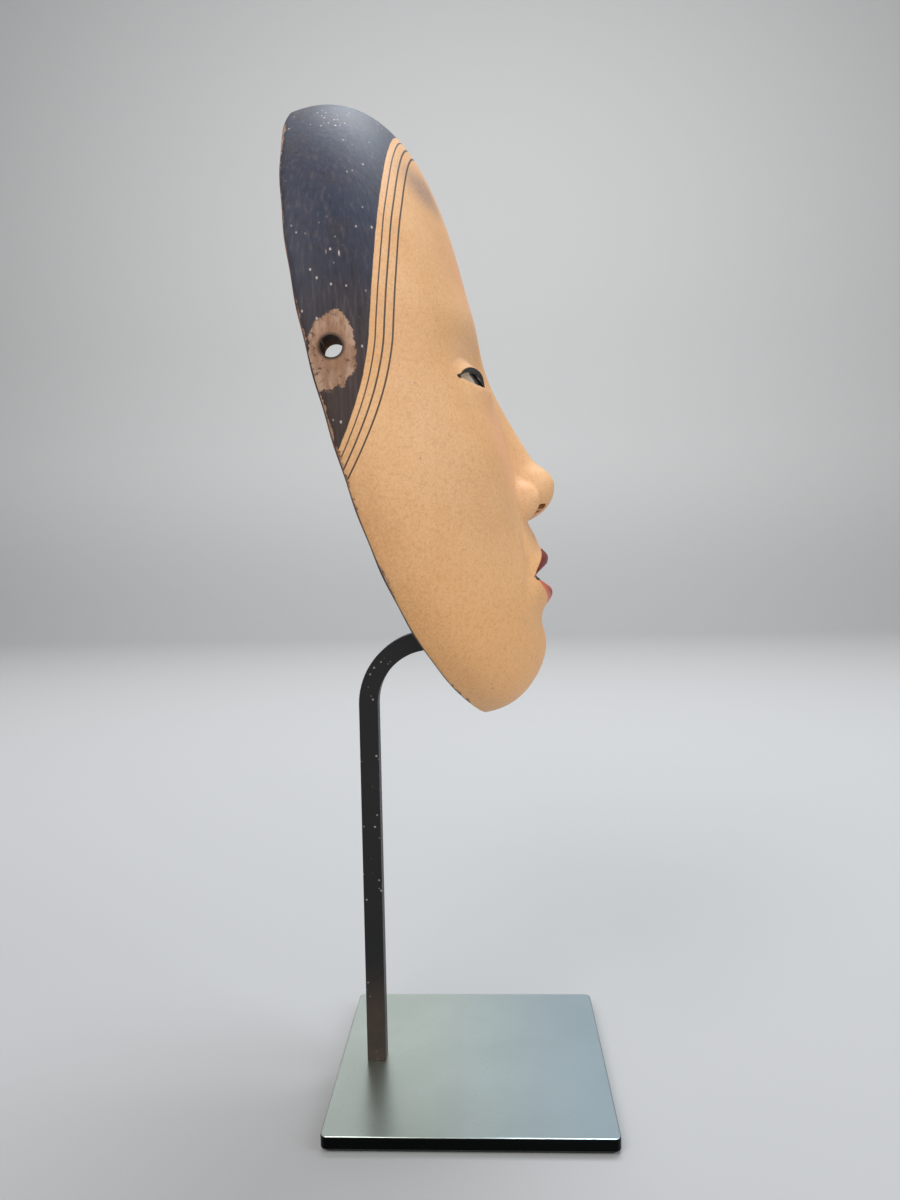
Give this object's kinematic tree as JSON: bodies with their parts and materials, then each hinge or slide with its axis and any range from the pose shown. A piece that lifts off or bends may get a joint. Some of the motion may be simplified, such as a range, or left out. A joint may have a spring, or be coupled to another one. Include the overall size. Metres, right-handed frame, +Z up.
{
  "type": "noh mask on stand",
  "caption": "Carved and painted wooden noh mask of a young woman, resting on the padded bracket of a bent square-bar stand with a square base plate.",
  "frame": {"origin": "middle of the felt's lower face, on the surface that the stand rests on", "axes": "+X the way the face looks, +Y to the mask's own left, +Z up"},
  "size_m": [0.0956, 0.136, 0.3279],
  "materials": {
    "painted_wood": "white shell-lime ground toned warm tan, fine grain, soft sheen; blue-black hair paint; dark brown lacquer inside",
    "black_steel": "satin black, fine scratches",
    "bracket_steel": "matt black",
    "bright_steel": "brushed",
    "black_felt": "pressed wool felt",
    "grey_felt": "pressed wool felt"
  },
  "bodies": {
    "stand": {"base_plate": "black_steel", "base_felt": "black_felt", "post": "black_steel", "base_screw": "bright_steel", "spine": "bracket_steel", "spine_washer": "bright_steel", "spine_screw": "bright_steel", "upper_crossbar": "bracket_steel", "lower_crossbar": "bracket_steel", "crossbar_rivets": "bright_steel", "crown_pad": "grey_felt", "left_temple_pad": "grey_felt", "right_temple_pad": "grey_felt", "left_cheek_pad": "grey_felt", "right_cheek_pad": "grey_felt"},
    "mask": {"mask_shell": "painted_wood"}
  },
  "joints": [
    {"name": "mask_lift_off", "type": "slide", "parent": "stand", "child": "mask", "axis": [0.9659, 0, 0.2588], "range_m": [0, 0.1]}
  ]
}
